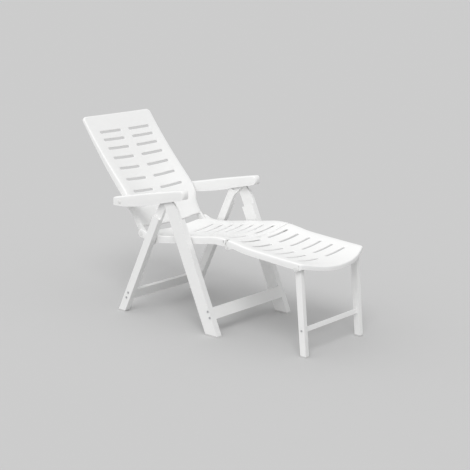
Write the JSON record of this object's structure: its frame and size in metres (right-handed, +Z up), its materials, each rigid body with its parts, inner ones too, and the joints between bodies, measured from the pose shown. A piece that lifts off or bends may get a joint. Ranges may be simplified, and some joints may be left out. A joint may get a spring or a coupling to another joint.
{
  "type": "reclining sun lounger",
  "caption": "Reclining resin sun lounger: armchair on folding A-frame legs, slotted dished seat and back, hinged footrest on its own legs.",
  "frame": {"origin": "on the floor, half way along and across the lounger", "axes": "+X towards the footrest, +Y to the sitter's left, +Z up"},
  "size_m": [1.5686, 0.592, 0.997],
  "materials": {
    "panel_plastic": "satin white resin",
    "frame_plastic": "satin white resin",
    "pin_plastic": "satin white resin",
    "foot_pad": "matt white",
    "screw_steel": "zinc plated"
  },
  "bodies": {
    "front_frame": {"front_leg_left": "frame_plastic", "front_leg_right": "frame_plastic", "front_crossbar": "frame_plastic", "front_crossbar_screws": "screw_steel", "apex_pins": "pin_plastic", "seat_pivot_pins": "pin_plastic", "front_foot_pads": "foot_pad"},
    "rear_frame": {"rear_leg_left": "frame_plastic", "rear_leg_right": "frame_plastic", "rear_crossbar": "frame_plastic", "rear_crossbar_screws": "screw_steel", "seat_rest_pegs": "pin_plastic", "rear_foot_pads": "foot_pad"},
    "seat": {"seat_panel": "panel_plastic", "footrest_hinge_pins": "pin_plastic"},
    "hip_pins": {"hip_pins": "pin_plastic"},
    "backrest": {"backrest_panel": "panel_plastic"},
    "arm_bushes": {"arm_bushes": "pin_plastic"},
    "arm_pins": {"arm_pins": "pin_plastic"},
    "arm_left": {"armrest_left": "frame_plastic", "arm_cap_left": "pin_plastic"},
    "arm_right": {"armrest_right": "frame_plastic", "arm_cap_right": "pin_plastic"},
    "footrest": {"footrest_panel": "panel_plastic"},
    "footrest_legs": {"footrest_leg_left": "frame_plastic", "footrest_leg_right": "frame_plastic", "footrest_leg_crossbar": "frame_plastic", "footrest_leg_screws": "screw_steel", "footrest_leg_pins": "pin_plastic", "footrest_foot_pads": "foot_pad"}
  },
  "joints": [
    {"name": "frame_fold", "type": "hinge", "parent": "front_frame", "child": "rear_frame", "pos_m": [-0.112, 0, 0.646], "axis": [0, -1, 0], "range_deg": [0, 38]},
    {"name": "seat_swing", "type": "hinge", "parent": "front_frame", "child": "seat", "pos_m": [-0.003, 0, 0.448], "axis": [0, -1, 0], "range_deg": [-0.5, 21.02]},
    {"name": "hip_close", "type": "hinge", "parent": "seat", "child": "hip_pins", "pos_m": [-0.338, 0, 0.43], "axis": [0, 1, 0], "range_deg": [-0.5, 23.3]},
    {"name": "recline", "type": "hinge", "parent": "hip_pins", "child": "backrest", "pos_m": [-0.338, 0, 0.43], "axis": [0, 1, 0], "range_deg": [0, 28]},
    {"name": "arm_level", "type": "hinge", "parent": "backrest", "child": "arm_bushes", "pos_m": [-0.443, 0, 0.59], "axis": [0, -1, 0], "range_deg": [-0.5, 28.5]},
    {"name": "arm_raise", "type": "hinge", "parent": "arm_bushes", "child": "arm_pins", "pos_m": [-0.443, 0, 0.59], "axis": [0, -1, 0], "range_deg": [-0.5, 46.1]},
    {"name": "arm_lift_left", "type": "hinge", "parent": "arm_pins", "child": "arm_left", "pos_m": [-0.443, 0, 0.59], "axis": [0, -1, 0], "range_deg": [0, 95]},
    {"name": "arm_lift_right", "type": "hinge", "parent": "arm_pins", "child": "arm_right", "pos_m": [-0.443, 0, 0.59], "axis": [0, -1, 0], "range_deg": [0, 95]},
    {"name": "footrest_tilt", "type": "hinge", "parent": "seat", "child": "footrest", "pos_m": [0.262, 0, 0.457], "axis": [0, 1, 0], "range_deg": [0, 60]},
    {"name": "footrest_leg_fold", "type": "hinge", "parent": "footrest", "child": "footrest_legs", "pos_m": [0.69, 0, 0.425], "axis": [0, 1, 0], "range_deg": [0, 84]}
  ],
  "couplings": [
    {"joint": "seat_swing", "follows": "frame_fold", "ratio": 0.54},
    {"joint": "hip_close", "follows": "frame_fold", "ratio": 0.6},
    {"joint": "arm_level", "follows": "recline", "ratio": 1},
    {"joint": "arm_raise", "follows": "frame_fold", "ratio": 1.2}
  ]
}
